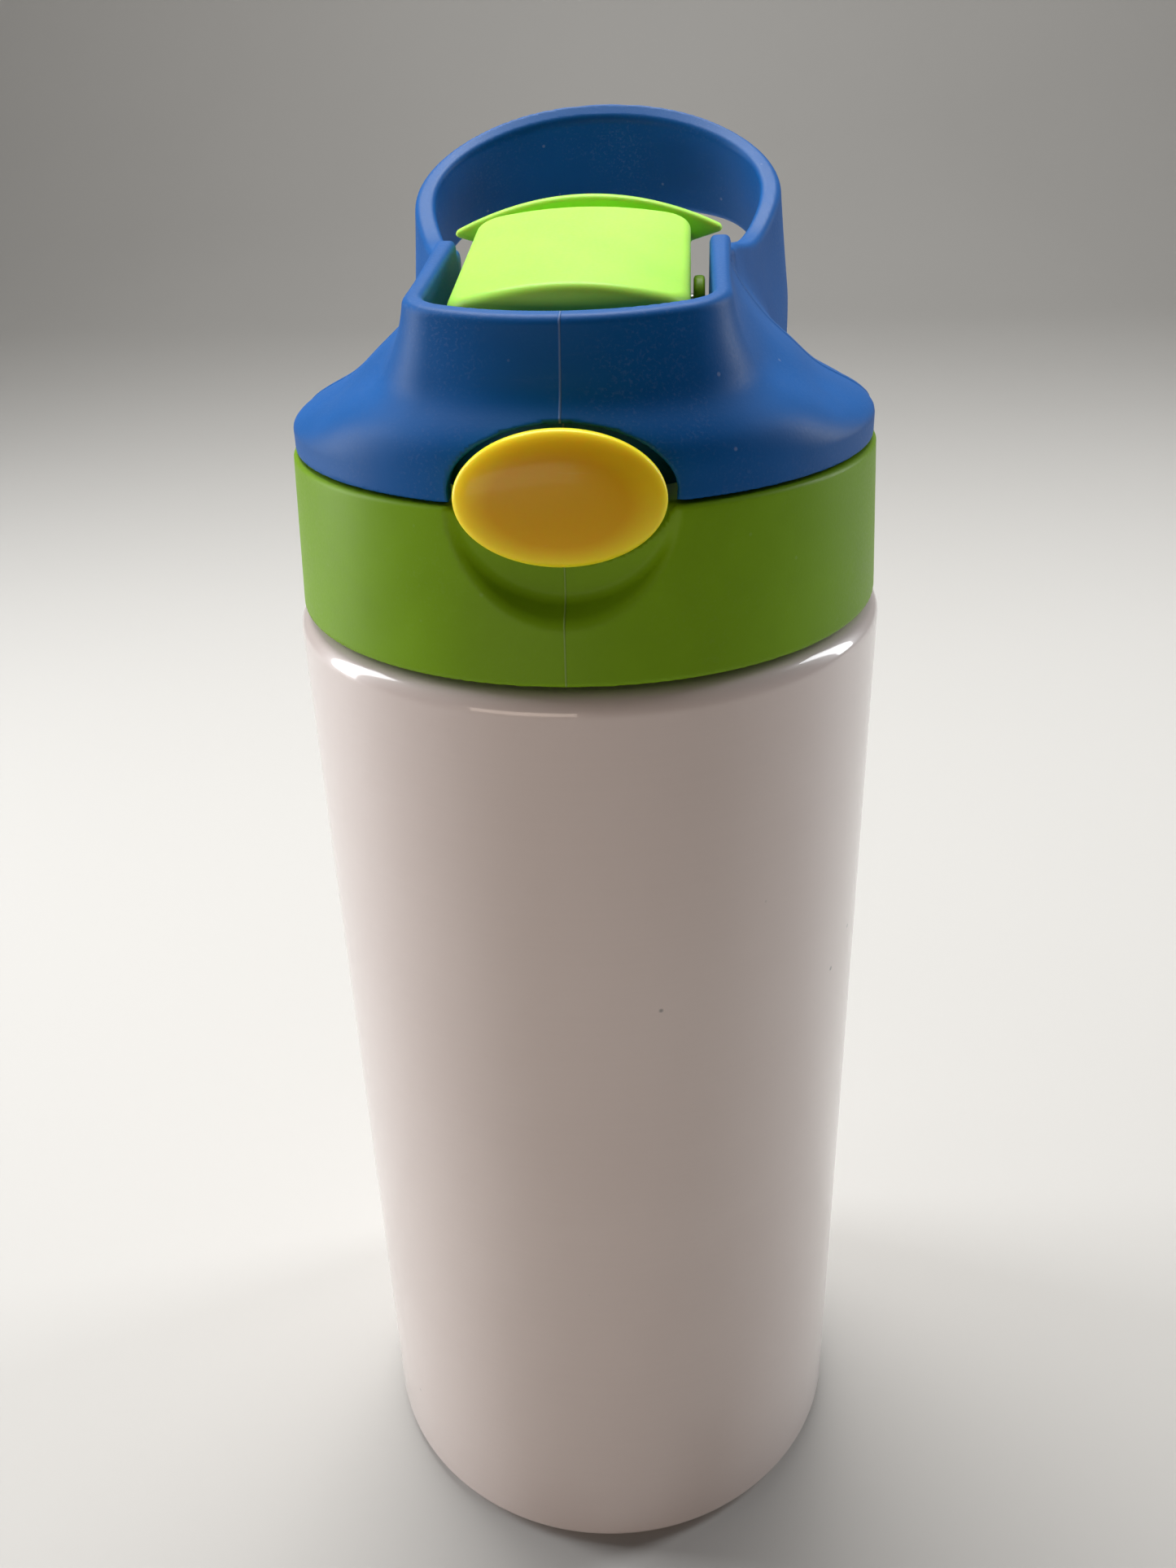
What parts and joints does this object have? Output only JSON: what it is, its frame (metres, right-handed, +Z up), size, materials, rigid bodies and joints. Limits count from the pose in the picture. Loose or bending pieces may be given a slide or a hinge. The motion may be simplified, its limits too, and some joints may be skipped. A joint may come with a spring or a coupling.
{
  "type": "kids water bottle",
  "caption": "Straight steel drinking bottle with a screw-on lid, a flip cap over a silicone spout, an oval release button and a moulded carry loop.",
  "frame": {"origin": "centre of the flat base, on the bottle's axis", "axes": "+Z up along the bottle's axis, -Y towards the push button at the front, +Y towards the carry loop"},
  "size_m": [0.072, 0.0948, 0.1935],
  "materials": {
    "white_coat": "gloss white polymer coat over steel",
    "steel": "brushed stainless steel",
    "spring_steel": "drawn spring wire",
    "getter": "sintered getter pill in a steel cup",
    "blue_plastic": "satin moulded polypropylene, mid blue",
    "green_plastic": "satin moulded polypropylene, leaf green",
    "lime_plastic": "satin moulded polypropylene, light green",
    "yellow_plastic": "satin-gloss moulded plastic, warm yellow",
    "clear_plastic": "milky translucent polypropylene",
    "silicone": "translucent white food-grade silicone"
  },
  "bodies": {
    "bottle": {"outer_wall": "white_coat", "inner_liner": "steel", "base_cap": "steel", "vacuum_getter": "getter"},
    "gasket": {"lid_gasket": "silicone"},
    "straw": {"straw": "clear_plastic"},
    "lid": {"lid_base": "green_plastic", "top_shroud": "blue_plastic", "hinge_pin": "steel", "cap_spring": "spring_steel", "button_spring": "spring_steel", "straw_socket": "clear_plastic", "vent_valve": "silicone", "spout_base": "silicone"},
    "spout": {"spout_tube": "silicone"},
    "cap": {"flip_cap": "lime_plastic", "cap_liner": "lime_plastic", "spout_seal": "silicone"},
    "button": {"push_button": "yellow_plastic", "latch_slider": "clear_plastic"}
  },
  "joints": [
    {"name": "lid_lift", "type": "slide", "parent": "bottle", "child": "gasket", "axis": [0, 0, 1], "range_m": [0, 0.16]},
    {"name": "lid_rise", "type": "slide", "parent": "gasket", "child": "straw", "axis": [0, 0, 1], "range_m": [0, 0.006]},
    {"name": "lid_unscrew", "type": "hinge", "parent": "straw", "child": "lid", "pos_m": [0, 0, 0.15], "axis": [0, 0, 1], "range_deg": [0, 540]},
    {"name": "cap_flip", "type": "hinge", "parent": "lid", "child": "cap", "pos_m": [0, 0.0125, 0.1715], "axis": [-1, 0, 0], "range_deg": [0, 100]},
    {"name": "spout_pop_up", "type": "hinge", "parent": "lid", "child": "spout", "pos_m": [0, 0, 0.1653], "axis": [-1, 0, 0], "range_deg": [0, 55]},
    {"name": "button_press", "type": "slide", "parent": "lid", "child": "button", "axis": [0, 1, 0], "range_m": [0, 0.002], "stiffness_N_per_m": 600, "deforming": ["button_spring"]}
  ],
  "couplings": [
    {"joint": "lid_rise", "follows": "lid_unscrew", "m_per_rad": 0.000636},
    {"joint": "spout_pop_up", "follows": "cap_flip", "ratio": 0.549}
  ]
}
